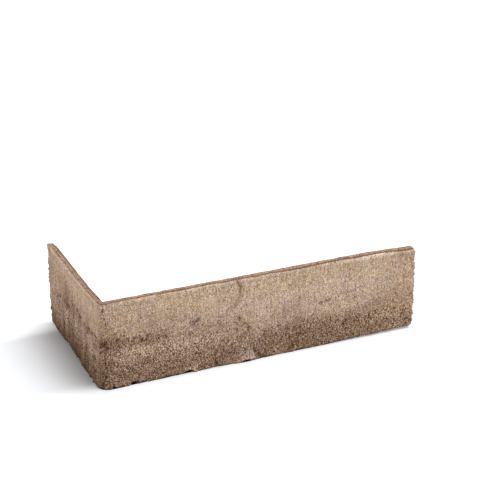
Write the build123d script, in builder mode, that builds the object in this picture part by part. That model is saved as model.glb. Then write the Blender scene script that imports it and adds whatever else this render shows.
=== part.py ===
from build123d import *
import os

os.makedirs("parts", exist_ok=True)

# Sizes of the slip, outside measures in mm
stretcher_length = 240.0
header_length = 115.0
slip_height = 65.0

# The strip is thinnest where it is bent and thickens towards both ends
bend_thickness = 3.5
header_end_thickness = 4.6
stretcher_end_thickness = 5.2

# The bend is rounder at its foot than at its top, and sharp on the wall side
bend_foot_radius = 7.0
bend_top_radius = 3.0
wall_radius = 1.0

# Hand-cut edges: level at the bend, while the far ends fall at the top and lift off the bed
stretcher_end_fall = 0.8
stretcher_end_lift = 2.2
header_end_fall = 2.2
header_end_lift = 1.0
level_length = 130.0

# Rounded corners of the two ends, and the arris all round the outer side
stretcher_corner_radius = 3.2
header_corner_radius = 1.6
arris_radius = 0.9

# The top arris is worn away at the stretcher's end
worn_length = 26.0
worn_depth = 2.2
worn_width = 3.2

# The pressed lump at the foot of the stretcher: distance from the bend to its far side, and size
lump_end = 113.0
lump_width = 18.0
lump_rise = 0.9
lump_middle = 2.0
lump_root = 0.5

# Shallow hollows under the bed edge: distance from the bend, and width
bed_hollows = ((9.0, 4.0), (24.0, 10.0), (66.0, 7.0), (103.0, 8.0))
hollow_depth = 0.7

# Material around the strip before its edges and faces are cut
waste = 5.0

# Planes of the slip. The origin is in the middle of its outside box, on the bed it stands on.
outer_x = -stretcher_length / 2
outer_y = -header_length / 2
stretcher_end = stretcher_length / 2
header_end = header_length / 2
wall_x = outer_x + header_end_thickness
wall_y = outer_y + stretcher_end_thickness
bend_x = wall_x - bend_thickness
bend_y = wall_y - bend_thickness
stretcher_end_height = slip_height - stretcher_end_fall
level_end = outer_x + level_length


def face_y(x):
    """Place of the stretcher's outer face at the length x."""
    share = (x - bend_x) / (stretcher_end - bend_x)
    return bend_y + share * (outer_y - bend_y)


def face_x(y):
    """Place of the header's outer face at the length y."""
    share = (y - bend_y) / (header_end - bend_y)
    return bend_x + share * (outer_x - bend_x)


def bend_radius(height):
    """Radius of the bend's outer side at a height above the bed."""
    return bend_foot_radius + (bend_top_radius - bend_foot_radius) * height / slip_height


def cap_radius(width, rise):
    """Radius of the circle whose cap has this width and rise."""
    return (width**2 / 4 + rise**2) / (2 * rise)


def looks_out(face):
    """True for a face of the outer side, which looks away from the wall."""
    normal = face.normal_at()
    return normal.X + normal.Y < -0.5


with BuildPart() as corner_slip:
    # Side view of the stretcher: level bed that lifts to the end, and a top edge that falls to it
    with BuildSketch(Plane.XZ.offset(-wall_y - waste)) as stretcher_view:
        with BuildLine():
            bed = Line((outer_x - waste, 0), (level_end, 0))
            lift = TangentArc(bed @ 1, (stretcher_end, stretcher_end_lift), tangent=bed % 1)
            end = Line(lift @ 1, (stretcher_end, stretcher_end_height))
            level = Line((outer_x - waste, slip_height), (wall_x + waste, slip_height))
            TangentArc(level @ 1, end @ 1, tangent=level % 1)
            Line(level @ 0, bed @ 0)
        make_face()
        end_corners = stretcher_view.vertices().group_by(Axis.X)[-1]
        fillet(end_corners, radius=stretcher_corner_radius)
    extrude(amount=stretcher_end_thickness + 2 * waste)

    # Side view of the header, with the same bed and top edge at the bend
    with BuildSketch(Plane.YZ.offset(outer_x - waste)) as header_view:
        with BuildLine():
            bed = Line((outer_y - waste, 0), (wall_y + waste, 0))
            lift = TangentArc(bed @ 1, (header_end, header_end_lift), tangent=bed % 1)
            end = Line(lift @ 1, (header_end, slip_height - header_end_fall))
            level = Line((outer_y - waste, slip_height), (wall_y + waste, slip_height))
            TangentArc(level @ 1, end @ 1, tangent=level % 1)
            Line(level @ 0, bed @ 0)
        make_face()
        end_corners = header_view.vertices().group_by(Axis.X)[-1]
        fillet(end_corners, radius=header_corner_radius)
    extrude(amount=header_end_thickness + 2 * waste)

    # The wall side: two flat backs that meet in a nearly sharp corner
    beyond_x = stretcher_end + waste
    beyond_y = header_end + waste
    with BuildSketch(Plane.XY.offset(-waste)) as wall:
        with Locations((wall_x, wall_y)):
            Rectangle(beyond_x - wall_x, beyond_y - wall_y, align=(Align.MIN, Align.MIN))
        fillet(wall.vertices().sort_by_distance((wall_x, wall_y))[0], radius=wall_radius)
    extrude(amount=slip_height + 2 * waste, mode=Mode.SUBTRACT)

    # The outer side: two faces that splay a little, and a bend that gets rounder towards its foot
    with BuildPart(mode=Mode.PRIVATE) as outer_side:
        for height in (-waste, slip_height + waste):
            with BuildSketch(Plane.XY.offset(height)) as plan:
                with BuildLine():
                    Polyline(
                        (bend_x, bend_y),
                        (beyond_x, face_y(beyond_x)),
                        (beyond_x, beyond_y),
                        (face_x(beyond_y), beyond_y),
                        close=True,
                    )
                make_face()
                bend = plan.vertices().sort_by_distance((bend_x, bend_y))[0]
                fillet(bend, radius=bend_radius(height))
        loft()
    add(outer_side.part, mode=Mode.INTERSECT)

    # Rounded arris all the way round the outer side
    outer_faces = corner_slip.faces().filter_by(lambda face: looks_out(face))
    top_arris = outer_faces.edges().filter_by(lambda edge: edge.center().Z > 0.9 * slip_height)
    fillet(top_arris, radius=arris_radius)

    # The top arris is worn away towards the stretcher's end
    worn_x = stretcher_end - worn_length
    worn_start = Vector(worn_x, face_y(worn_x), slip_height)
    worn_foot = Vector(stretcher_end, outer_y, stretcher_end_height - worn_depth)
    worn_back = Vector(stretcher_end, outer_y + worn_width, stretcher_end_height)
    worn_edge = worn_foot - worn_start
    worn_plane = Plane(worn_start, x_dir=worn_edge, z_dir=worn_edge.cross(worn_back - worn_start))
    split(bisect_by=worn_plane, keep=Keep.BOTTOM)

    # Shallow hollows under the bed edge of the stretcher
    for distance, width in bed_hollows:
        radius = cap_radius(width, hollow_depth)
        with Locations((outer_x + distance, wall_y, hollow_depth - radius)):
            Cylinder(radius, 4 * stretcher_end_thickness, rotation=(90, 0, 0), mode=Mode.SUBTRACT)

    # The lump at the foot of the outer face: the cap of a large ball, cut off level with the bed
    with BuildPart(mode=Mode.PRIVATE) as lump:
        lump_x = outer_x + lump_end - lump_width / 2
        ball_radius = cap_radius(lump_width, lump_rise)
        with Locations((lump_x, face_y(lump_x) - lump_rise + ball_radius, lump_middle)):
            Sphere(ball_radius)
        with Locations((lump_x, face_y(lump_x) + lump_root, 0)):
            slab = (lump_width, 2 * (lump_rise + lump_root), slip_height)
            Box(*slab, align=(Align.CENTER, Align.CENTER, Align.MIN), mode=Mode.INTERSECT)
    add(lump.part)

corner_slip.part.label = "corner_slip"
export_step(corner_slip.part, "parts/corner_slip.step")
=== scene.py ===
import math

import bpy
import numpy as np
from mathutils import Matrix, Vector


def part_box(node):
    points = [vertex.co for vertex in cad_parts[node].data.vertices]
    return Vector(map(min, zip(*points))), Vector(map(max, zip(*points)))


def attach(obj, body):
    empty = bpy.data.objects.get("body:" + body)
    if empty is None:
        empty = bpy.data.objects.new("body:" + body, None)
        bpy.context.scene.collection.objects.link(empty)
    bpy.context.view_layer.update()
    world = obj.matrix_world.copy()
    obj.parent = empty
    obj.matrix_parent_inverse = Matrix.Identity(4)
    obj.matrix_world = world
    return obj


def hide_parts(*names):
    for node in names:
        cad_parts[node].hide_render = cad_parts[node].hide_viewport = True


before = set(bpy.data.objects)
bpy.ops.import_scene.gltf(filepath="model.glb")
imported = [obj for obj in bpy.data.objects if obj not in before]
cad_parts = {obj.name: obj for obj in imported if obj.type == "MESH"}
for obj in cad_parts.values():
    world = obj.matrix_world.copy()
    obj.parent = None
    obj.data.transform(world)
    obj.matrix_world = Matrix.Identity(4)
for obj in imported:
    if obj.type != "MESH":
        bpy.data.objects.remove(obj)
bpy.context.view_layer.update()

MM = 0.001

# The slip's sizes in mm. Its box comes from the frame, the rest repeats the CAD part.
low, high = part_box("corner_slip")
OUTER_X, OUTER_Y = low.x / MM, low.y / MM
STRETCHER_END, HEADER_END = high.x / MM, high.y / MM
TOP = high.z / MM
BEND_THICKNESS = 3.5
HEADER_THICKNESS = 4.6
STRETCHER_THICKNESS = 5.2
BEND_FOOT_RADIUS = 7.0
BEND_TOP_RADIUS = 3.0
WALL_X = OUTER_X + HEADER_THICKNESS
WALL_Y = OUTER_Y + STRETCHER_THICKNESS
BEND_X = WALL_X - BEND_THICKNESS
BEND_Y = WALL_Y - BEND_THICKNESS
STRETCHER_RUN = STRETCHER_END - BEND_X
HEADER_RUN = HEADER_END - BEND_Y

# Mesh spacing in mm, and rows on each side of the strip
CELL = 0.6
FACE_ROWS = 106
ARC_ROWS = 3
CUT_ROWS = 7
BACK_ROWS = 34
END_COLUMNS = 7
END_ZONE = 3.0

# Rounding of the outer top arris, plain and where it is worn, and of the bed edge.
# Then the height of the top cut's back edge over the CAD part's.
ARRIS = 0.9
WORN_ARRIS = 1.5
BED_ARRIS = 0.25
BACK_EDGE_RISE = 0.4

# Width in mm of a tooth on the torn edges of the two ends
TOOTH = 1.4

# Random numbers of the noise, one table to each seed, and the seed of the mesh's grains
TABLE_SIZE = 4096
GRAIN_SEED = 21
tables = {}


# Numbers


def smooth(value, start, stop):
    """0 before start, 1 after stop and a soft ramp between them."""
    share = np.clip((value - start) / (stop - start), 0, 1)
    return share * share * (3 - 2 * share)


def hill(value, middle, width):
    """A soft hill of height 1 at middle, with this width at a third of its height."""
    return np.exp(-(((value - middle) / (width / 2)) ** 2))


def noise(seed, *coordinates):
    """Smooth noise from -1 to 1, with one value to each unit cell of the coordinates."""
    if seed not in tables:
        tables[seed] = np.random.default_rng(seed).uniform(-1, 1, TABLE_SIZE)
    cells = [np.floor(c).astype(np.int64) for c in coordinates]
    parts = [c - np.floor(c) for c in coordinates]
    parts = [p * p * (3 - 2 * p) for p in parts]
    primes = (73856093, 19349663, 83492791)
    total = 0.0
    for corner in range(2 ** len(coordinates)):
        key = np.zeros_like(cells[0])
        weight = 1.0
        for axis, (cell, part) in enumerate(zip(cells, parts)):
            step = corner >> axis & 1
            key = key ^ (cell + step) * primes[axis]
            weight = weight * (part if step else 1 - part)
        total = total + weight * tables[seed][key % TABLE_SIZE]
    return total


# Shape of the plain strip. "along" is the signed distance from the bend in mm: the stretcher
# is positive and the header negative. "height" is over the bed, and "depth" goes from 0 on
# the outer face to 1 on the wall side.


def bend_radius(height):
    return BEND_FOOT_RADIUS + (BEND_TOP_RADIUS - BEND_FOOT_RADIUS) * height / TOP


def thickness(along):
    end = np.where(along > 0, STRETCHER_THICKNESS, HEADER_THICKNESS)
    run = np.where(along > 0, STRETCHER_RUN, HEADER_RUN)
    return BEND_THICKNESS + (end - BEND_THICKNESS) * np.abs(along) / run


def from_end(along):
    """Distance to the end of the nearer leg."""
    return np.where(along > 0, STRETCHER_RUN - along, HEADER_RUN + along)


def corner_cut(distance, radius):
    """How far a rounded corner has fallen back at a distance from the end."""
    inside = np.clip(radius - distance, 0, radius)
    return radius - np.sqrt(radius**2 - inside**2)


def back_height(along):
    """Height of the back edge of the top cut, which is straight but for its two ends."""
    stretcher = 1.3 * smooth(along, 195, 238) + corner_cut(from_end(along), 2.6)
    header = 1.35 * smooth(-along, 6, 32) + 1.4 * smooth(-along, 104, 114)
    header = header + corner_cut(from_end(along), 0.7)
    return TOP + BACK_EDGE_RISE - np.where(along > 0, stretcher, header) + 0.06 * noise(12, along / 7)


def top_height(along):
    """Height of the outer top arris, which is worn in waves."""
    worn = 0.3 * hill(along, 221, 5) + 0.22 * noise(11, along / 15)
    worn = worn + 0.26 * noise(52, along / 4.5) + 0.12 * noise(16, along / 1.7)
    dips = 0.5 * hill(along, -57, 16) + 0.4 * hill(along, -30, 26) + 0.3 * hill(along, 140, 80)
    header_rise = 0.55 * smooth(-along, 6, 32) + 0.9 * smooth(-along, 100, 112)
    return back_height(along) - BACK_EDGE_RISE - 0.35 - dips + header_rise + worn


def bed_height(along):
    """Height of the bed edge. It touches the floor in a few places only."""
    stretcher = 1.8 * smooth(along, 150, 240) + corner_cut(from_end(along), 3.7)
    header = 1.3 * smooth(-along, 94, 112) + corner_cut(from_end(along), 3.0)
    uneven = 0.03 * (1 + noise(13, along / 11)) + 0.04 * (1 + noise(14, along / 3))
    uneven = uneven + 0.24 * smooth(noise(17, along / 2.4), 0.35, 0.8)
    chipped = 0.9 * smooth(noise(53, along / 5), 0.1, 0.5) * smooth(-along, 40, 60)
    return np.where(along > 0, stretcher, header + chipped) + uneven


def arris_radius(along):
    """The outer top arris is rounder where it is worn away at the stretcher's end."""
    sharp = 0.5 * smooth(-along, 102, 112)
    return ARRIS - sharp + 0.3 * noise(15, along / 6) + WORN_ARRIS * smooth(along, 205, 232)


def place(along, height, depth):
    """Position in mm, in the row frame."""
    radius = bend_radius(height)
    turn = np.clip(along / radius, -1, 1) * math.pi / 4
    arc_x = BEND_X + radius * (1 + np.cos(5 * math.pi / 4 + turn))
    arc_y = BEND_Y + radius * (1 + np.sin(5 * math.pi / 4 + turn))
    share_x = np.clip(along, 0, None) / STRETCHER_RUN
    share_y = np.clip(-along, 0, None) / HEADER_RUN
    on_arc = np.abs(along) < radius
    outer_x = np.where(on_arc, arc_x, np.where(along > 0, BEND_X + along, BEND_X))
    outer_y = np.where(on_arc, arc_y, np.where(along > 0, BEND_Y, BEND_Y - along))
    outer_x = outer_x + share_y * (OUTER_X - BEND_X)
    outer_y = outer_y + share_x * (OUTER_Y - BEND_Y)
    inner_x = WALL_X + share_x * (STRETCHER_END - WALL_X)
    inner_y = WALL_Y + share_y * (HEADER_END - WALL_Y)
    x = outer_x + depth * (inner_x - outer_x)
    y = outer_y + depth * (inner_y - outer_y)
    return np.stack([x, y, height], axis=-1)


# Mesh of the strip


def columns():
    """Distances along the strip of the mesh's columns, closer together at both ends."""
    fine = END_ZONE * (1 - np.cos(np.linspace(0, math.pi / 2, END_COLUMNS + 1)))
    count = int((HEADER_RUN + STRETCHER_RUN) / CELL)
    middle = np.linspace(END_ZONE - HEADER_RUN, STRETCHER_RUN - END_ZONE, count)
    return np.concatenate([fine[:-1] - HEADER_RUN, middle, STRETCHER_RUN - fine[-2::-1]])


def ring(along):
    """Heights and depths of the closed line round the strip at each column: up the outer
    side with its two rounded arrises, over the top cut, down the wall side, back by the bed."""
    top, bed, thick = top_height(along), bed_height(along), thickness(along)
    back_top = back_height(along)
    top_arris, bed_arris = arris_radius(along), BED_ARRIS + 0 * along
    face = corner_cut(from_end(along), ARRIS) / thick
    rows = []
    for angle in np.arange(ARC_ROWS) / ARC_ROWS * math.pi / 2:
        rise, back = bed_arris * (1 - math.cos(angle)), bed_arris * (1 - math.sin(angle))
        rows.append((bed + rise, face + back / thick))
    for share in np.linspace(0, 1, FACE_ROWS):
        rows.append((bed + bed_arris + share * (top - top_arris - bed - bed_arris), face))
    for angle in np.arange(1, ARC_ROWS + 1) / ARC_ROWS * math.pi / 2:
        fall, back = top_arris * (1 - math.sin(angle)), top_arris * (1 - math.cos(angle))
        rows.append((top - fall, face + back / thick))
    outer_count = len(rows)
    start = rows[-1][1]
    for share in np.arange(1, CUT_ROWS + 1) / CUT_ROWS:
        rows.append((top + (back_top - top) * share, start + (1 - start) * share))
    for share in np.arange(1, BACK_ROWS + 1) / BACK_ROWS:
        rows.append((back_top + share * (bed - back_top), 1 + 0 * along))
    start = rows[0][1]
    for share in np.arange(1, CUT_ROWS) / CUT_ROWS:
        rows.append((bed, 1 + share * (start - 1)))
    return np.array([r[0] for r in rows]), np.array([r[1] for r in rows]), outer_count


def end_cap(heights, depths, outer_count):
    """Inside points and faces that close one end of the strip. The faces' numbers below the
    length of heights are points of the ring there, and the others are the inside points."""
    count = len(heights)
    top = [outer_count - 1 + k for k in range(CUT_ROWS)]
    bed = [0] + [count - k for k in range(1, CUT_ROWS)]
    back = [outer_count - 1 + CUT_ROWS + BACK_ROWS - k for k in range(BACK_ROWS + 1)]
    grid = np.zeros((outer_count, CUT_ROWS), int)
    grid[:, 0] = np.arange(outer_count)
    grid[-1], grid[0] = top, bed
    up = (heights[:outer_count] - heights[0]) / (heights[outer_count - 1] - heights[0])
    back_heights = np.interp(up, np.linspace(0, 1, BACK_ROWS + 1), heights[back])
    new_heights, new_depths = [], []
    for i in range(1, outer_count - 1):
        for k in range(1, CUT_ROWS):
            share = k / CUT_ROWS
            grid[i, k] = count + len(new_heights)
            new_heights.append(heights[i] + share * (back_heights[i] - heights[i]))
            new_depths.append(depths[i] + share * (1 - depths[i]))
    faces = []
    for i in range(outer_count - 1):
        for k in range(CUT_ROWS - 1):
            faces.append((grid[i, k], grid[i, k + 1], grid[i + 1, k + 1], grid[i + 1, k]))
    # The last strip joins the cap's close rows to the wider ones of the wall side
    near = grid[:, -1]
    i = j = 0
    while i < outer_count - 1 or j < BACK_ROWS:
        if j == BACK_ROWS or (i < outer_count - 1 and (i + 1) * BACK_ROWS <= (j + 1) * (outer_count - 1)):
            faces.append((near[i], back[j], near[i + 1]))
            i += 1
        else:
            faces.append((near[i], back[j], back[j + 1]))
            j += 1
    return new_heights, new_depths, faces


# Relief of the surfaces, in mm


def from_corner(along):
    """Distance along the strip counted from the corner of the slip's outside box, as the
    marks of the outer face are placed."""
    stretcher = (BEND_X - OUTER_X) * smooth(along, 0, 8)
    header = (BEND_Y - OUTER_Y) * smooth(-along, 0, 8)
    return along + stretcher - header


def groove(along, height, ends, width):
    """1 on a straight line between two places on the face, falling to 0 at its sides."""
    (a0, h0), (a1, h1) = ends
    length = math.hypot(a1 - a0, h1 - h0)
    ua, uh = (a1 - a0) / length, (h1 - h0) / length
    run = (along - a0) * ua + (height - h0) * uh
    off = (height - h0) * ua - (along - a0) * uh
    off = off + 0.5 * noise(31, along / 2.5, height / 2.5)
    inside = smooth(run, -width, width) * (1 - smooth(run, length - width, length + width))
    return inside * hill(off, 0, width)


def dent(along, height, where, width):
    """1 in the middle of a round dent, falling to 0 at its rim."""
    return np.exp(-((along - where[0]) ** 2 + (height - where[1]) ** 2) / (width / 2) ** 2)


# Round pits of the outer face: distance from the bend, height and width
PITS = (
    (165.5, 34.8, 2.4),
    (31, 32.6, 2.2),
    (25, 36, 1.8),
    (20, 36, 2.0),
    (12.5, 36.2, 2.0),
    (5, 32.2, 2.2),
    (2.5, 35.4, 2.4),
    (34.5, 35.2, 1.8),
)
BEND_PITS = ((2.2, 60, 2.2), (3.2, 54, 2.0), (4.2, 50, 1.8))
HEADER_PITS = (
    (-71.4, 32.6, 4.4),
    (-74.4, 31.4, 4.4),
    (-62, 38.6, 2.4),
    (-51, 39, 2.4),
    (-45, 36.8, 2.4),
    (-27, 35.6, 3.4),
    (-16, 18, 3.4),
    (-89, 33, 2.4),
    (-13, 10, 2.6),
)
# The crack across the header: distances from the bend and heights
CRACK_RUN = (0, 8, 20, 27, 33, 40, 51, 65, 78, 89, 99, 115)
CRACK_HEIGHT = (36, 36.8, 36.6, 35.6, 34.2, 36.2, 39.2, 40.4, 36.2, 33.2, 31.6, 29.5)


def crack_height(along):
    """Height of the wandering crack that divides the header's smooth and coarse parts."""
    wander = 0.5 * noise(58, along / 3) + 0.3 * noise(59, along / 1.2)
    return np.interp(-along, CRACK_RUN, CRACK_HEIGHT) + wander


def crack(along, height):
    """The broken line of the crack, from 0 to 1. It fades out towards the header's end."""
    broken = (0.35 + 0.65 * smooth(noise(30, along / 4), -0.3, 0.4)) * (0.25 + 1.0 * hill(-along, 19, 32))
    return broken * hill(height - crack_height(along), 0, 1.2) * smooth(-along, 2, 8)


def coarse_part(along, height):
    """1 under the header's crack and 0 over it. The step is soft towards the header's end."""
    soft = 1.5 + 5.5 * smooth(-along, 32, 56)
    return smooth(crack_height(along) - height, -soft, soft)


# Short cracks of the stretcher: both ends on the face, and width
CRACKS = (
    ((102.2, 37), (102.6, 33), 1.7),
    ((99.6, 27.6), (101.6, 25.2), 1.7),
    ((105.6, 31.4), (108.6, 28.6), 1.7),
    ((107.6, 27.6), (111, 25.2), 2.0),
    ((67.5, 37), (72.5, 40.8), 1.7),
    ((71, 40), (73.2, 41.2), 1.5),
    ((168.5, 34.8), (172.5, 35.6), 1.3),
)


def marks(along, height):
    """Dents and cracks of the outer face, from 0 to 1. The tone paints them dark, as the shade in them.
    """
    total = 1.1 * crack(along, height)
    for a, h, width in PITS + BEND_PITS + HEADER_PITS:
        total = np.maximum(total, dent(along, height, (a, h), width))
    for start, stop, width in CRACKS:
        total = np.maximum(total, 0.8 * groove(along, height, (start, stop), width))
    return total


def grey_marks(along, height):
    """Grey scuffs of the outer face, from 0 to 1."""
    total = groove(along, height, ((178, 38.8), (193, 39.8)), 1.8)
    total = np.maximum(total, groove(along, height, ((168.5, 35.8), (174.5, 37.2)), 3.6))
    return np.maximum(total, groove(along, height, ((65.5, 37.2), (72.5, 41.4)), 4.6))


def crease(along, height):
    """The fold to the right of the pressed lump, from 0 to 1. The tone paints it dark, as the shade in
    it.
    """
    upper = groove(along, height, ((112.5, 10.5), (116, 5.5)), 2.1)
    return np.maximum(upper, groove(along, height, ((116, 5.5), (120, 0.5)), 2.1))


def lump(along, height):
    """The pressed lump at the foot of the stretcher, from 0 to 1."""
    return smooth(1 - np.hypot((along - 106.5) / 10.5, (height - 1.5) / 8.5), 0, 0.7)


# Notches in the stretcher's bed edge, painted near black as shadow: distance along, width and height
NOTCHES = (
    (9.4, 3.4, 2.3),
    (23.8, 5.5, 3.0),
    (31, 6.0, 1.5),
    (49, 6.0, 1.5),
    (56, 8.0, 1.2),
    (64.4, 9.0, 2.5),
    (84, 7.0, 1.3),
    (107.5, 9.0, 1.8),
    (150, 4.0, 1.3),
)


def notches(along, height):
    """The notches in the bed edge, from 0 to 1. The material paints them near black, as shadow."""
    total = np.zeros_like(along)
    for a, wide, tall in NOTCHES:
        total = np.maximum(total, smooth(1 - np.hypot((along - a) / (wide / 2), height / tall), 0, 0.16))
    return total


# Pale lips and chips beside the notches: both ends on the face, and width
LIPS = (
    ((61, 3.4), (66, 3.6), 1.6),
    ((66, 3.6), (70.5, 1.0), 1.8),
    ((19.5, 0.4), (20.5, 1.8), 1.8),
    ((34, 0.6), (36, 1.0), 1.6),
    ((103, 3.0), (112, 2.4), 1.6),
)


def lips(along, height):
    """Pale curled lips and chips at the bed edge, from 0 to 1."""
    total = np.zeros_like(along)
    for start, stop, width in LIPS:
        total = np.maximum(total, groove(along, height, (start, stop), width))
    return total


def flap(along, height):
    """The thin upright lip beside the larger notch, from 0 to 1."""
    return hill(along, 69, 3.2) * (1 - smooth(height, 6, 10))


def flare(along, height):
    """How far the outer face leans out at the foot of the bend, with knobs along the header's
    foot, and bulges at the header's end."""
    foot = 1.5 * smooth(along, -58, -30) * (1 - smooth(along, -8, 30)) * (1 - smooth(height, 0, 22))
    knobs = 0.85 * smooth(noise(64, along / 2.8, height / 3), -0.1, 0.6) * (1 - smooth(height, 2, 5))
    knobs = knobs * smooth(-along, 4, 12) * (1 - smooth(-along, 82, 98))
    return foot + knobs + 0.3 * smooth(-along, 70, 108) * hill(height, 34, 44)


def torn(along, height):
    """Teeth and swelling of the two torn ends."""
    reach = np.where(along > 0, 0.5, 0.7)
    teeth = reach * noise(28, height / TOOTH, 0 * along) + 0.25 * noise(54, height / 0.9, 0 * along)
    swelling = 0.4 * hill(height, 32, 44) * (1 - smooth(from_end(along), 0, 6))
    return teeth * (1 - smooth(from_end(along), 0.2, 2.0)) + swelling


def skin_relief(along, height, grains):
    """Relief of the sanded outer face."""
    rough = 0.6 + 0.2 * smooth(along, -14, 0) + 0.2 * hill(along, 2, 12)
    rough = rough + 0.45 * smooth(44 - height, 0, 20)
    swell = 0.28 * noise(23, along / 26, height / 20) + 0.12 * noise(24, along / 9, height / 8)
    ridges = 0.3 * noise(25, along / 3.6, height / 20) * smooth(-along, 8, 25)
    lip = (0.22 + 0.12 * noise(29, along / 3)) * hill(height, top_height(along) - 1.1, 1.5)
    seen = from_corner(along)
    made = lump(seen, height) + 0.6 * flap(seen, height) - 0.8 * crease(seen, height)
    made = made + 0.5 * lips(seen, height) - 0.3 * notches(seen, height) + flare(along, height)
    return swell + ridges + lip + made + 0.075 * rough * grains - 0.6 * marks(seen, height)


def cut_relief(depth, grains):
    """Relief of the top cut and the bed: torn grain, and a shallow hollow near the outer side."""
    return 0.22 * grains - 0.15 * hill(depth, 0.35, 0.3)


def back_relief(along, height):
    """Relief of the wall side: faint upright saw marks and a slight unevenness."""
    return 0.07 * noise(26, along / 1.4, height / 30) + 0.1 * noise(27, along / 5, height / 5)


def relief(along, height, depth, grains):
    """How far the surface stands out from the plain strip, with a random grain at each point."""
    outer = 1 - smooth(depth, 0.12, 0.3)
    back = smooth(depth, 0.9, 0.98)
    inner = (1 - back) * cut_relief(depth, grains) + back * back_relief(along, height)
    return outer * skin_relief(along, height, grains) + (1 - outer) * inner + torn(along, height)


# Tones of the surfaces. A tone is the brightness of the clay from 0 to 255, and a shade is a
# part of it that is added or taken away.


# Soft oval shades of the stretcher: distance from the bend, height, width, length upright and
# how much darker. The ones with a negative strength are pale.
STRETCHER_SHADES = (
    (7, 20, 10, 10, 6),
    (7.5, 9.5, 12, 11, -16),
    (8, 28, 9, 9, -10),
    (26, 34, 12, 12, -6),
    (28, 27, 11, 11, 12),
    (28, 51, 16, 16, 6),
    (29, 23, 14, 14, -5),
    (35, 16, 6, 6, 24),
    (38, 44, 44, 14, 8),
    (42, 40, 22, 22, 6),
    (70, 14.4, 16, 16, -15),
    (84, 33, 40, 12, 12),
    (88, 3, 15, 15, 12),
    (98, 25, 76, 10, -7),
    (116, 22, 24, 24, -7),
    (129, 51, 23, 23, -10),
    (130, 33, 70, 10, 5),
    (132, 57, 14, 14, 6),
    (138, 34, 20, 20, 10),
    (140, 62, 70, 6, 6),
    (145, 20, 22, 22, 12),
    (184, 43, 16, 16, -5),
    (190, 58.3, 15.5, 15.5, 17),
    (204, 14, 18, 18, 6),
    (205, 24, 9, 9, 14),
    (208, 50, 18, 18, -7),
    (232, 16, 14, 14, -7),
    (232, 63, 12, 12, 6),
)
# The same for the header, where the distance from the bend is negative
HEADER_SHADES = (
    (-91, 12, 26, 10, -17),
    (-93, 40, 12, 12, -8),
    (-100, 63, 9, 9, -9),
)


def ovals(along, height, shades):
    """The sum of soft oval shades."""
    total = np.zeros_like(along)
    for at, middle, width, length, strength in shades:
        total = total + strength * hill(along, at, width) * hill(height, middle, length)
    return total


def blotch_row(along, height):
    """The row of dark blotches on the stretcher beside the bend."""
    row = hill(height, 34.8 - 2 * smooth(along, 8, 20), 12 - 5 * smooth(along, 8, 24))
    blotches = 31 + 20 * smooth(noise(49, along / 3.2, height / 2.4), 0, 0.6)
    return row * blotches * (1 - smooth(along, 30, 62))


def lump_shade(along, height):
    """The pale clay of the pressed lump and the flap, over and beside the lump and past its fold."""
    over = 12 * hill(along, 109, 16) * smooth(24 - height, 0, 12)
    beside = 30 * hill(along, 111.5, 6) * (1 - smooth(height, 7, 12))
    past_fold = 12 * groove(along, height, ((118, 9), (124, 2)), 3)
    return over + beside + past_fold + 17 * lump(along, height) + 42 * flap(along, height)


def far_end_shade(along, height):
    """The dark band, dark top and pale foot of the stretcher's far end."""
    band = smooth(along, 190, 214) * (12 * hill(height, 30, 12) + 8 * hill(height, 26, 8))
    top = 7 * smooth(along, 218, 230) * hill(height, 62, 8)
    foot = 18 * smooth(along, 200, 230) * (1 - smooth(height, 2, 9))
    return foot - band - top


def stretcher_tone(along, height):
    """Tone of the stretcher: light above, and dark under an edge that falls to the right."""
    to_right = smooth(along, 75, 140)
    to_end = smooth(along, 190, 214)
    edge = 50 - 19 * to_right + 2.5 * noise(41, along / 12, height / 12)
    spread = 48 - 32 * to_right + 10 * to_end
    dark = smooth(edge - height, 0, spread)
    light = 187 - 14 * smooth(26 - along, 0, 26)
    light = light - 7 * smooth(height, 58, 65) * (1 - smooth(along, 165, 190))
    light = light + 5 * smooth(along, 130, 170) * (1 - smooth(along, 205, 230))
    tone = light - dark * (51 - 8 * to_end) - blotch_row(along, height)
    under_row = 12 * hill(height, 24, 9) * (1 - smooth(along, 65, 95))
    tone = tone + under_row + lump_shade(along, height) + far_end_shade(along, height)
    return tone - ovals(along, height, STRETCHER_SHADES)


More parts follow.
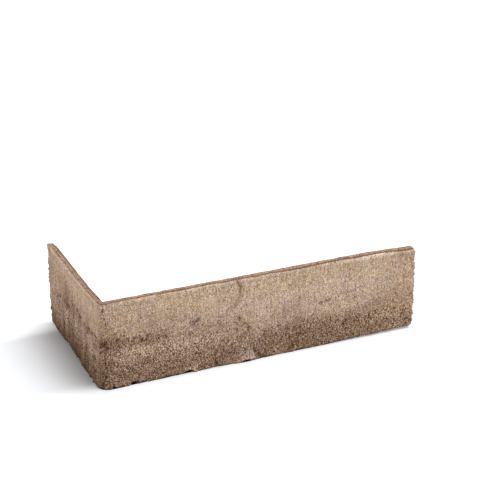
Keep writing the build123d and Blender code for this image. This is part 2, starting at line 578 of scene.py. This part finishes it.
# Upright streaks of the header: distance from the bend, height, width, length and how much
# darker. The ones with a negative strength are pale.
STREAKS = (
    (5, 3, 12, 7, -22),
    (5, 27, 12, 8, -9),
    (6, 40, 12, 10, -14),
    (18, 45, 14, 7, -6),
    (19, 24, 8, 10, -9),
    (23, 26, 12, 9, -12),
    (23, 28, 8, 7, -5),
    (26, 33, 8, 7, -8),
    (27, 8, 4, 9, 24),
    (28, 41, 3, 12, 24),
    (30, 27, 7, 7, 7),
    (32, 19, 4, 10, 26),
    (32, 38, 8, 9, 8),
    (33, 3, 22, 5, 7),
    (34, 33, 15, 8, 22),
    (36, 27, 12, 8, 8),
    (38, 16, 8, 8, 10),
    (39, 13, 4, 16, -16),
    (45, 3, 22, 6, 6),
    (46, 20, 3, 10, 10),
    (48, 27, 14, 8, -7),
    (49, 11, 7, 12, -9),
    (50, 37, 9, 8, -14),
    (53, 27, 16, 9, -28),
    (55, 27, 8, 7, -5),
    (56, 9, 7, 18, 20),
    (64, 15, 6, 16, 30),
    (65, 34, 8, 6, -6),
    (66, 46, 3, 22, 10),
    (68, 13, 5, 16, -9),
    (70, 33, 9, 6, -8),
    (70, 40, 8, 6, 9),
    (71, 16, 3, 14, 12),
    (71, 45, 6, 8, 9),
    (72, 25, 1.8, 15, 16),
    (72, 45, 8, 6, 4),
    (74, 41, 2.4, 14, 12),
    (75, 44, 6, 20, 25),
    (76, 13, 3, 15, -16),
    (78.5, 44, 2.2, 9, -14),
    (80, 12, 3, 16, -24),
    (80, 21, 8, 8, -9),
    (80, 34, 8, 9, 16),
    (81, 9, 7, 8, -10),
    (84, 9, 9, 8, -9),
    (84, 14, 3.6, 13, 34),
    (85, 17, 14, 8, -7),
    (88, 45, 12, 8, 5),
    (89, 14, 7, 14, -12),
    (90, 21, 8, 8, 6),
    (95, 12, 3, 16, 14),
    (100, 26, 8, 8, -8),
    (103, 22, 3, 16, 18),
    (105, 58, 10, 8, 8),
    (108, 3, 8, 6, -26),
    (110, 20, 8, 14, -8),
)


def streaks(along, height):
    """The header's upright streaks, each of which wanders a little on its way up."""
    total = np.zeros_like(along)
    for at, middle, width, length, strength in STREAKS:
        wander = at + 0.8 * noise(60, height / 6 + at)
        total = total + strength * hill(-along, wander, width) * hill(height, middle, length)
    return total


def header_bands(along, height):
    """Level shades of the header: pale near its top, darker under the crack and at its foot."""
    upper = 5 * hill(height, 56, 9) - 6 * smooth(height, 60, 65)
    lower = 11 * smooth(54 + 3 * noise(42, along / 9, height / 30) - height, 0, 12)
    coarse = 14 * coarse_part(along, height) - 12 * hill(height, 24, 15)
    crack_side = 7 * hill(height, crack_height(along) - 3, 9) * hill(-along, 56, 50)
    foot = 45 * smooth(20 - height, -3, 20) * (1 - 0.3 * hill(-along, 18, 34))
    edge = 14 * (1 - smooth(height, 2, 7))
    return upper - lower - coarse - crack_side - foot - edge


def header_end_shade(along, height):
    """Shades at the header's two ends, beside the bend and at the torn end."""
    bend = 20 * (1 - smooth(-along, 0, 8)) + 8 * smooth(8 + along, 0, 8) * hill(height, 53, 16)
    end = smooth(-along, 100, 112) * (14 * hill(height, 20, 22) - 8)
    end = end - 16 * smooth(-along, 100, 110) * hill(height, 43, 24)
    return end + 14 * smooth(-along, 88, 106) * hill(height, 34, 34) - bend


def header_tone(along, height):
    """Tone of the header."""
    tone = 190 + header_bands(along, height) + header_end_shade(along, height)
    return tone - streaks(along, height) - ovals(along, height, HEADER_SHADES)


def mottling(along, height):
    """Uneven shades of the skin, stronger in its lower half and under the header's crack."""
    lower = smooth(48 - height, 0, 30)
    total = (2.6 + 1.2 * lower) * noise(43, along / 8, height / 6)
    total = total + (0.8 + 0.4 * lower) * noise(44, along / 2.4, height / 4.5)
    total = total + (1.5 + lower) * noise(56, along / 0.9, height / 9)
    below_crack = smooth(-along, 4, 14) * coarse_part(from_corner(along), height)
    total = total + (5 * smooth(-along, 6, 30) + 11 * below_crack) * noise(45, along / 3.4, height / 16)
    return total - 26 * below_crack * smooth(noise(55, along / 2.6, height / 9), 0.35, 0.8)


def lip_shade(along, height):
    """The pale lip just under the top arris."""
    lip = 15 + 9 * smooth(-along, 4, 30) + 9 * noise(50, along / 2.5)
    lip = lip + 12 * smooth(along, 160, 190) * (1 - smooth(along, 210, 222))
    return lip * hill(height, top_height(along) - 1.3, 2.4)


def bend_shade(along, height):
    """The dark, blotchy lower part of the bend."""
    blotches = 20 + 10 * hill(height, 32, 8) + 12 * hill(height, 19, 12)
    blotches = blotches + 14 * noise(61, along / 2.5, height / 2.5)
    return blotches * smooth(50 - height, 0, 12) * hill(along, -1, 13)


def dark_edge_and_foot_shadow(along, height):
    """The dark line along the bed edge, partly the clay's darker edge and partly painted contact shadow.
    """
    line = 1 - smooth(height - bed_height(along), 0.3, 1.5)
    return 50 * line * (0.75 + 0.4 * noise(57, along / 5))


# How much darker the clay is painted in its dents, cracks and fold, as the shade in them, and in the
# grey scuffs, and how much paler it is on the curled lips
PAINTED_DENT_SHADE = 84
SCUFF_SHADE = 26
PAINTED_FOLD_SHADE = 74
CURL_SHADE = 44


def skin_tone(along, height):
    """Tone of the sanded outer face."""
    seen = from_corner(along)
    share = smooth(along, -3, 3)
    tone = share * stretcher_tone(seen, height) + (1 - share) * header_tone(seen, height)
    tone = tone + mottling(along, height) + lip_shade(along, height)
    tone = tone - bend_shade(along, height) - dark_edge_and_foot_shadow(along, height)
    # Painted shade in the dents, cracks and the fold
    tone = tone - PAINTED_DENT_SHADE * marks(seen, height) - SCUFF_SHADE * grey_marks(seen, height)
    return tone - PAINTED_FOLD_SHADE * crease(seen, height) + CURL_SHADE * lips(seen, height)


# The vein's way down from the stretcher's top arris: heights and distances along
VEIN_HEIGHT = (44, 48, 51, 56, 59, 62, 64)
VEIN_ALONG = (99.2, 100.2, 101.9, 103.2, 103.0, 101.9, 100.8)


def vein(along, height):
    """The curved brown vein under the stretcher's top arris, from 0 to 1."""
    off = along - np.interp(height, VEIN_HEIGHT, VEIN_ALONG) + 0.4 * noise(46, height / 1.6)
    return 0.76 * hill(off, 0, 2.7) * smooth(height, 42, 46) * (0.65 + 0.35 * smooth(height, 52, 58))


def grit(along, height):
    """How coarse the sand lies, from 0 to 1."""
    stretcher = 0.28 + 0.62 * smooth(46 - 12 * smooth(along, 60, 120) - height, 0, 24)
    stretcher = stretcher + 0.12 * smooth(along, 95, 130) * smooth(28 - height, 0, 12)
    header = 0.16 + 0.44 * coarse_part(along, height)
    share = smooth(along, -7, 2)
    return share * stretcher + (1 - share) * header + 0.25 * hill(along, 3, 12)


def specks(along, height):
    """Share of the grains that are dark."""
    row = hill(height, 33, 10) * hill(along, 10, 60)
    header = smooth(-along, 2, 8) * coarse_part(along, height)
    lower = 0.04 * smooth(46 - height, 0, 20)
    bend = 0.06 * hill(along, 1, 12) * smooth(60 - height, 0, 20)
    return 0.055 + lower + 0.1 * row + 0.08 * header + bend


def warmth(along, height):
    """Hue of the outer face, from -1 for pinkish grey to 1 for ochre."""
    middle = -0.5 * hill(height, 34, 22) * (1 - smooth(along, 195, 215))
    middle = middle - 3 * grey_marks(along, height) - 1.4 * lump(along, height)
    header = (0.6 + 1.0 * smooth(52 - height, 0, 14)) * noise(62, along / 6, height / 12) - 0.66
    header = header * smooth(-along, 5, 20)
    header_foot = 0.9 * smooth(-along, 4, 12) * (1 - smooth(height, 3, 12))
    right = 0.6 * smooth(along, 120, 160) * smooth(30 - height, 0, 16)
    end = 0.6 * smooth(along, 195, 215) * hill(height, 24, 24)
    end = end - 0.9 * smooth(along, 205, 225) * smooth(height, 20, 34)
    lip = -1.2 * smooth(along, 90, 150) * hill(height, top_height(along) - 1.3, 3)
    clouds = 0.5 * noise(63, along / 26, height / 12) + 0.75 * noise(47, along / 8, height / 6)
    return middle + header + header_foot + right + end + lip + clouds + 0.25 * smooth(height, 45, 55)


def ruddy(along, height):
    """Share of the redder clay: the header, and the stretcher's foot and far end."""
    header = (1 - smooth(along, -10, 6)) * (1 - 0.4 * smooth(height, 46, 58))
    low_end = 0.8 * smooth(along, 185, 215) * smooth(30 - height, 0, 14)
    end = 0.8 * smooth(along, 210, 228)
    foot = 0.9 * (1 - smooth(height, 1.5, 6)) + 0.7 * hill(height, 27, 8) * (1 - smooth(along, 50, 85))
    foot = foot + 0.35 * smooth(26 - height, 0, 10)
    return np.clip(np.maximum(header, np.maximum(low_end, end)) + foot * smooth(along, -4, 4), 0, 1)


def upright(along, height):
    """The height laid out for the grains, which are taller than wide."""
    return height * (0.68 - 0.12 * smooth(-along, 0, 14))


def strip():
    """Distances along, heights and depths of the closed strip's points, and its faces."""
    along = columns()
    ring_heights, ring_depths, outer_count = ring(along)
    row_count, column_count = ring_heights.shape
    grid = np.arange(row_count * column_count).reshape(column_count, row_count)
    following = np.roll(grid, -1, axis=1)
    corners = np.stack([grid[:-1], grid[1:], following[1:], following[:-1]], axis=-1)
    faces = corners.reshape(-1, 4).tolist()
    alongs = np.repeat(along, row_count)
    heights, depths = ring_heights.T.ravel(), ring_depths.T.ravel()
    for c in (0, column_count - 1):
        cap_heights, cap_depths, cap_faces = end_cap(ring_heights[:, c], ring_depths[:, c], outer_count)
        first = len(alongs)
        for face in cap_faces:
            face = [int(grid[c, v]) if v < row_count else int(first + v - row_count) for v in face]
            faces.append(face[::-1] if c == 0 else face)
        alongs = np.concatenate([alongs, np.full(len(cap_heights), along[c])])
        heights = np.concatenate([heights, cap_heights])
        depths = np.concatenate([depths, cap_depths])
    return alongs, heights, depths, faces


def attributes(alongs, heights, depths, grains):
    """What the material needs at each point of the mesh."""
    seen = from_corner(alongs)
    return {
        "tone": skin_tone(alongs, heights) / 255,
        "warmth": warmth(seen, heights),
        "vein": vein(seen, heights),
        "grit": grit(seen, heights),
        "specks": specks(seen, heights),
        # Where the mesh's grains sink in, which the material paints darker as shade
        "hollow": -grains,
        "ruddy": ruddy(alongs, heights),
        # The notches, which the material paints near black as the shadow in them
        "notch_shadow": notches(seen, heights) * (depths < 0.5),
        "along": alongs,
        "upright": upright(alongs, heights),
        "wall": (depths > 0.99) * smooth(back_height(alongs) - heights, 0.3, 1.2),
        "depth": depths,
        "inward": depths * thickness(alongs),
    }


def build_slip():
    """The corner slip as one closed mesh, pushed out by its relief along the plain strip's normals."""
    alongs, heights, depths, faces = strip()
    grains = np.random.default_rng(GRAIN_SEED).uniform(-1, 1, len(alongs))
    points = place(alongs, heights, depths) * MM
    mesh = bpy.data.meshes.new("corner_brick_slip")
    mesh.from_pydata(points.tolist(), [], faces)
    mesh.update()
    normals = np.zeros(points.size)
    mesh.vertex_normals.foreach_get("vector", normals)
    out = relief(alongs, heights, depths, grains) * MM
    points = points + normals.reshape(-1, 3) * out[:, None]
    points[:, 2] = np.maximum(points[:, 2], 0)
    mesh.vertices.foreach_set("co", points.ravel())
    mesh.polygons.foreach_set("use_smooth", np.ones(len(mesh.polygons), bool))
    mesh.update()
    for name, numbers in attributes(alongs, heights, depths, grains).items():
        attribute = mesh.attributes.new(name, "FLOAT", "POINT")
        attribute.data.foreach_set("value", numbers.astype(np.float32))
    slip = bpy.data.objects.new("corner_brick_slip", mesh)
    bpy.context.scene.collection.objects.link(slip)
    return slip


# Material


def linear(red, green, blue):
    """A colour given as 0 to 255 on screen, as the shader wants it."""
    parts = [c / 255 for c in (red, green, blue)]
    return [p / 12.92 if p <= 0.04045 else ((p + 0.055) / 1.055) ** 2.4 for p in parts] + [1.0]


class Nodes:
    """Short ways to add nodes to a material's tree. Each returns an output socket."""

    def __init__(self, name):
        self.material = bpy.data.materials.new(name)
        self.material.use_nodes = True
        self.tree = self.material.node_tree
        self.shader = self.tree.nodes["Principled BSDF"]

    def feed(self, socket, value):
        if isinstance(value, bpy.types.NodeSocket):
            self.tree.links.new(value, socket)
        else:
            socket.default_value = value

    def attribute(self, name):
        node = self.tree.nodes.new("ShaderNodeAttribute")
        node.attribute_name = name
        return node.outputs["Fac"]

    def place(self):
        return self.tree.nodes.new("ShaderNodeTexCoord").outputs["Object"]

    def maths(self, operation, *values):
        node = self.tree.nodes.new("ShaderNodeMath")
        node.operation = operation
        for socket, value in zip(node.inputs, values):
            self.feed(socket, value)
        return node.outputs[0]

    def centred(self, value):
        """A random number or a cloud from 0 to 1, counted from its middle."""
        return self.maths("SUBTRACT", value, 0.5)

    def plus(self, base, value, weight):
        """The base with the value added to it, times a weight."""
        return self.maths("MULTIPLY_ADD", value, weight, base)

    def remap(self, value, low, high, to_low=0.0, to_high=1.0):
        """A soft ramp from one number to another while the value goes from low to high."""
        node = self.tree.nodes.new("ShaderNodeMapRange")
        node.interpolation_type = "SMOOTHSTEP"
        self.feed(node.inputs["Value"], value)
        limits = {"From Min": low, "From Max": high, "To Min": to_low, "To Max": to_high}
        for name, number in limits.items():
            node.inputs[name].default_value = number
        return node.outputs["Result"]

    def on_face(self, stretch=1.0):
        """Place on the laid out outer face in metres, for a pattern drawn taller by a factor."""
        node = self.tree.nodes.new("ShaderNodeCombineXYZ")
        self.feed(node.inputs[0], self.maths("MULTIPLY", self.attribute("along"), MM))
        self.feed(node.inputs[1], self.maths("MULTIPLY", self.attribute("upright"), MM / stretch))
        return node.outputs[0]

    def cells(self, vector, size, flat=False):
        """Cells of a size in mm: the distance from each one's middle and two random numbers."""
        node = self.tree.nodes.new("ShaderNodeTexVoronoi")
        node.voronoi_dimensions = "2D" if flat else "3D"
        self.feed(node.inputs["Vector"], vector)
        self.feed(node.inputs["Scale"], 1 / (size * MM))
        parts = self.tree.nodes.new("ShaderNodeSeparateColor")
        self.feed(parts.inputs["Color"], node.outputs["Color"])
        return node.outputs["Distance"], parts.outputs["Red"], parts.outputs["Green"]

    def cloud(self, vector, size):
        """Clouds of a size in mm, from -0.5 to 0.5."""
        node = self.tree.nodes.new("ShaderNodeTexNoise")
        self.feed(node.inputs["Vector"], vector)
        self.feed(node.inputs["Scale"], 1 / (size * MM))
        self.feed(node.inputs["Detail"], 2.0)
        return self.centred(node.outputs["Fac"])

    def ramp(self, value, stops):
        node = self.tree.nodes.new("ShaderNodeValToRGB")
        self.feed(node.inputs["Fac"], value)
        while len(node.color_ramp.elements) < len(stops):
            node.color_ramp.elements.new(0.5)
        for element, (position, colour) in zip(node.color_ramp.elements, stops):
            element.position = position
            element.color = linear(*colour)
        return node.outputs["Color"]

    def mix(self, share, first, second, blend="MIX"):
        node = self.tree.nodes.new("ShaderNodeMix")
        node.data_type = "RGBA"
        node.blend_type = blend
        self.feed(node.inputs["Factor"], share)
        self.feed(node.inputs[6], first)
        self.feed(node.inputs[7], second)
        return node.outputs[2]

    def grey(self, value):
        """A grey as bright as the value."""
        node = self.tree.nodes.new("ShaderNodeCombineColor")
        for socket in node.inputs:
            self.feed(socket, value)
        return node.outputs[0]

    def blend(self, share, first, second):
        """A number between two others."""
        node = self.tree.nodes.new("ShaderNodeMix")
        self.feed(node.inputs[0], share)
        self.feed(node.inputs[2], first)
        self.feed(node.inputs[3], second)
        return node.outputs[0]

    def bump(self, height, distance):
        node = self.tree.nodes.new("ShaderNodeBump")
        self.feed(node.inputs["Height"], height)
        self.feed(node.inputs["Distance"], distance)
        self.feed(node.inputs["Strength"], 1.0)
        return node.outputs["Normal"]


# Tone from 0 to 1 and the clay's colour there, on the sanded face
SAND_COLOURS = (
    (0.16, (50, 34, 23)),
    (0.35, (97, 73, 56)),
    (0.49, (127, 101, 82)),
    (0.59, (151, 127, 109)),
    (0.69, (176, 152, 131)),
    (0.77, (196, 174, 152)),
    (0.93, (238, 222, 202)),
)
# Place across the cut from the outer side to the wall side, and its colour
STRETCHER_CUT = (
    (0.12, (158, 130, 108)),
    (0.24, (110, 81, 62)),
    (0.42, (112, 83, 64)),
    (0.56, (150, 120, 98)),
    (0.84, (160, 132, 111)),
    (0.97, (112, 84, 67)),
)
HEADER_CUT = (
    (0.08, (162, 134, 112)),
    (0.24, (134, 101, 79)),
    (0.36, (150, 120, 98)),
    (0.52, (162, 133, 112)),
    (0.7, (136, 105, 87)),
    (0.95, (124, 96, 80)),
)


# Widths in mm of the sand's grains, of its fine grains and of the grains of the bare body, and
# how much taller than wide the streaks of the sand, its clouds of hue and the saw marks are
GRAIN = 0.58
FINE_GRAIN = 0.4
BODY_GRAIN = 1.0
STRIPE_STRETCH = 7.0
HUE_STRETCH = 1.9
SAW_STRETCH = 9.0

# How strongly the grains, fine grains, streaks and dark specks show in the sand's tone, and
# how deep in mm the grains are
GRAIN_CONTRAST = 0.48
FINE_CONTRAST = 0.26
STRIPE_CONTRAST = 0.09
SPECK_CONTRAST = 0.18
GRAIN_RELIEF = 0.28

# Tints laid over the sand's colour, cool and warm, and the same for the redder clay
COOL_TINT = (250, 248, 255)
WARM_TINT = (255, 249, 229)
COOL_RED_TINT = (255, 244, 243)
WARM_RED_TINT = (255, 246, 224)

VEIN_COLOUR = (112, 80, 60)
WALL_COLOUR = (154, 120, 96)
# Near black of the painted shadow in the bed edge's notches
NOTCH_SHADOW_COLOUR = (16, 11, 9)


def sand_tone(n, between, grain, fine, blotch):
    """Tone of the sand, from 0 to 1: the mesh's own tone with grains, streaks and specks."""
    grains = n.plus(0.03, n.centred(grain), GRAIN_CONTRAST)
    # The gaps between the grains are painted darker, as the shade between them
    grains = n.plus(grains, between, -0.16)
    tone = n.plus(n.attribute("tone"), grains, n.attribute("grit"))
    tone = n.plus(tone, n.centred(fine), FINE_CONTRAST)
    _, stripe, _ = n.cells(n.on_face(STRIPE_STRETCH), 0.6, flat=True)
    tone = n.plus(tone, n.centred(stripe), STRIPE_CONTRAST)
    tone = n.plus(tone, blotch, 0.02)
    # Painted shade in the hollows where the mesh's grains sink in
    tone = n.plus(tone, n.attribute("hollow"), -0.012)
    dark_speck = n.remap(n.maths("SUBTRACT", grain, n.attribute("specks")), 0.03, -0.03)
    light_speck = n.remap(fine, 0.93, 0.99)
    return n.plus(n.plus(tone, dark_speck, -SPECK_CONTRAST), light_speck, 0.02)


def sand_colour(n, tone, grain, grain_hue, fine):
    """Colour of the sand at its tone, tinted grain by grain and in clouds."""
    warm = n.maths("MULTIPLY_ADD", n.attribute("warmth"), 0.36, 0.46)
    warm = n.plus(warm, n.centred(grain_hue), 0.2)
    warm = n.plus(warm, n.centred(grain), -0.2)
    warm = n.plus(warm, n.centred(fine), -0.15)
    warm = n.plus(warm, n.cloud(n.on_face(HUE_STRETCH), 2.1), 2.5)
    tint = n.mix(warm, linear(*COOL_TINT), linear(*WARM_TINT))
    red_tint = n.mix(warm, linear(*COOL_RED_TINT), linear(*WARM_RED_TINT))
    tint = n.mix(n.attribute("ruddy"), tint, red_tint)
    sand = n.mix(1.0, n.ramp(tone, SAND_COLOURS), tint, "MULTIPLY")
    return n.mix(n.attribute("vein"), sand, linear(*VEIN_COLOUR))


def body_tone(n, body_grain, blotch):
    """Brightness of the bare body, with grains on the cuts and saw marks on the wall side."""
    wall = n.attribute("wall")
    tone = n.maths("MULTIPLY", n.centred(body_grain), 0.8)
    tone = n.plus(tone, n.remap(body_grain, 0.22, 0.12), -0.2)
    # Painted shade where the mesh's grains sink in
    tone = n.plus(tone, n.attribute("hollow"), -0.15)
    tone = n.maths("MULTIPLY", tone, n.plus(1.0, wall, -0.7))
    tone = n.plus(tone, blotch, 0.5)
    saw_marks = n.maths("MULTIPLY", n.cloud(n.on_face(SAW_STRETCH), 1.6), wall)
    return n.maths("ADD", n.plus(tone, saw_marks, 0.5), 1.05)


def body_colour(n, tone, on_header):
    """Colour of the bare body, which changes across the cut and is even on the wall side."""
    depth = n.attribute("depth")
    across_cut = n.mix(on_header, n.ramp(depth, STRETCHER_CUT), n.ramp(depth, HEADER_CUT))
    colour = n.mix(n.attribute("wall"), across_cut, linear(*WALL_COLOUR))
    return n.mix(1.0, colour, n.grey(tone), "MULTIPLY")


def clay_material():
    """Sanded clay outside, and the bare orange-brown body on the cuts and the wall side."""
    n = Nodes("sanded_clay")
    place, face = n.place(), n.on_face()
    gap, grain, grain_hue = n.cells(face, GRAIN, flat=True)
    _, fine, _ = n.cells(face, FINE_GRAIN, flat=True)
    body_gap, body_grain, _ = n.cells(place, BODY_GRAIN)
    blotch = n.cloud(place, 2.2)
    between = n.remap(gap, 0.3, 0.75)
    sand = sand_colour(n, sand_tone(n, between, grain, fine, blotch), grain, grain_hue, fine)
    on_header = n.remap(n.attribute("along"), 0.0, -6.0)
    body = body_colour(n, body_tone(n, body_grain, blotch), on_header)

    # The sand ends just behind the arris, in a ragged line
    edge = n.plus(n.plus(n.attribute("inward"), blotch, 0.8), on_header, 0.5)
    bare = n.remap(edge, 0.55, 0.95)
    # Painted shadow in the bed edge's notches: near black, without sheen
    notch_shadow = n.attribute("notch_shadow")
    colour = n.mix(notch_shadow, n.mix(bare, sand, body), linear(*NOTCH_SHADOW_COLOUR))
    n.feed(n.shader.inputs["Base Color"], colour)
    n.shader.inputs["Roughness"].default_value = 0.92
    n.feed(n.shader.inputs["Specular IOR Level"], n.plus(0.25, notch_shadow, -0.25))

    skin_height = n.maths("MULTIPLY", between, n.maths("MULTIPLY", n.attribute("grit"), -1.0))
    skin_height = n.plus(skin_height, fine, 0.25)
    height = n.blend(bare, skin_height, n.maths("MULTIPLY", body_gap, -0.8))
    n.feed(n.shader.inputs["Normal"], n.bump(height, GRAIN_RELIEF * MM))
    return n.material


# Stage


FLOOR_HALF_WIDTH = 3.0
# Where the paper starts to glow and where it glows in full, in metres, and how much: behind the
# slip and in front of it, counted in Y, and away from the slip on all sides
GLOW_BEHIND = (0.036, 0.052, 0.34)
GLOW_IN_FRONT = (-0.04, -0.056, 0.22)
GLOW_AWAY = (0.22, 0.9, 1.0)
# The paper's colour in the light that it throws back, and as the camera sees it
PAPER = (0.82, 0.82, 0.82, 1)
PAPER_SEEN = (0.88, 0.9, 0.93, 1)


def glow_ramp(n, place, limits):
    """A part of the paper's glow, which starts and is full at two places."""
    start, full, strength = limits
    return n.remap(place, start, full, 0.0, strength)


def paper_material():
    """White paper. It glows a little for the camera, away from the slip, behind it and in front."""
    n = Nodes("paper")
    n.shader.inputs["Roughness"].default_value = 1.0
    n.shader.inputs["Specular IOR Level"].default_value = 0.0
    seen = n.tree.nodes.new("ShaderNodeLightPath").outputs["Is Camera Ray"]
    n.feed(n.shader.inputs["Base Color"], n.mix(seen, PAPER, PAPER_SEEN))
    place = n.place()
    away = n.tree.nodes.new("ShaderNodeVectorMath")
    away.operation = "LENGTH"
    n.feed(away.inputs[0], place)
    across = n.tree.nodes.new("ShaderNodeSeparateXYZ")
    n.feed(across.inputs[0], place)
    behind = glow_ramp(n, across.outputs["Y"], GLOW_BEHIND)
    in_front = glow_ramp(n, across.outputs["Y"], GLOW_IN_FRONT)
    glow = glow_ramp(n, away.outputs["Value"], GLOW_AWAY)
    glow = n.maths("ADD", glow, n.maths("ADD", behind, in_front))
    n.shader.inputs["Emission Color"].default_value = (1, 1, 1, 1)
    n.feed(n.shader.inputs["Emission Strength"], n.maths("MULTIPLY", glow, seen))
    return n.material


def build_floor():
    """A white paper floor that keeps the slip's shadow."""
    half = FLOOR_HALF_WIDTH
    mesh = bpy.data.meshes.new("floor")
    corners = [(-half, -half, 0), (half, -half, 0), (half, half, 0), (-half, half, 0)]
    mesh.from_pydata(corners, [], [(0, 1, 2, 3)])
    mesh.materials.append(paper_material())
    floor = bpy.data.objects.new("floor", mesh)
    bpy.context.scene.collection.objects.link(floor)


def area_lamp(name, where, size, power):
    """A square softbox at a place in metres, turned to the slip."""
    light = bpy.data.lights.new(name, "AREA")
    light.shape = "SQUARE"
    light.size = size
    light.energy = power
    lamp = bpy.data.objects.new(name, light)
    bpy.context.scene.collection.objects.link(lamp)
    lamp.location = where
    lamp.rotation_euler = (-lamp.location).to_track_quat("-Z", "Y").to_euler()


# Softboxes: name, place in metres, width in metres and power in watts
LAMPS = (
    ("key_front", (0.52, -0.347, 1.473), 1.2, 21.5),
    ("key_back", (0.432, 0.452, 1.473), 1.2, 12.6),
    ("fill", (-1.184, -1.04, 0.278), 0.6, 10.4),
)
# The light of the white surroundings. The camera sees them at full strength.
SURROUNDINGS = 0.164


def light_scene():
    for name, where, size, power in LAMPS:
        area_lamp(name, where, size, power)
    world = bpy.data.worlds.new("studio")
    world.use_nodes = True
    nodes, links = world.node_tree.nodes, world.node_tree.links
    background = nodes["Background"]
    background.inputs["Color"].default_value = (1, 1, 1, 1)
    rays = nodes.new("ShaderNodeLightPath")
    strength = nodes.new("ShaderNodeMath")
    strength.operation = "MAXIMUM"
    strength.inputs[1].default_value = SURROUNDINGS
    links.new(rays.outputs["Is Camera Ray"], strength.inputs[0])
    links.new(strength.outputs[0], background.inputs["Strength"])
    bpy.context.scene.world = world


# The camera fitted to the photo: place in metres, how far it looks down and is turned in
# degrees, and lens and sensor width in mm
CAMERA_PLACE = (-0.40709, -0.96209, 0.53972)
CAMERA_DOWN = 24.655
CAMERA_TURN = -23.693
LENS = 114.67
SENSOR_WIDTH = 36


def build_camera():
    data = bpy.data.cameras.new("camera")
    data.sensor_width = SENSOR_WIDTH
    data.lens = LENS
    camera = bpy.data.objects.new("camera", data)
    camera.location = CAMERA_PLACE
    camera.rotation_euler = (math.radians(90 - CAMERA_DOWN), 0, math.radians(CAMERA_TURN))
    bpy.context.scene.collection.objects.link(camera)
    bpy.context.scene.camera = camera


build_camera()
light_scene()
build_floor()
slip = build_slip()
slip.data.materials.append(clay_material())
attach(slip, "root")
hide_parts("corner_slip")

bpy.context.scene.view_settings.view_transform = "Standard"
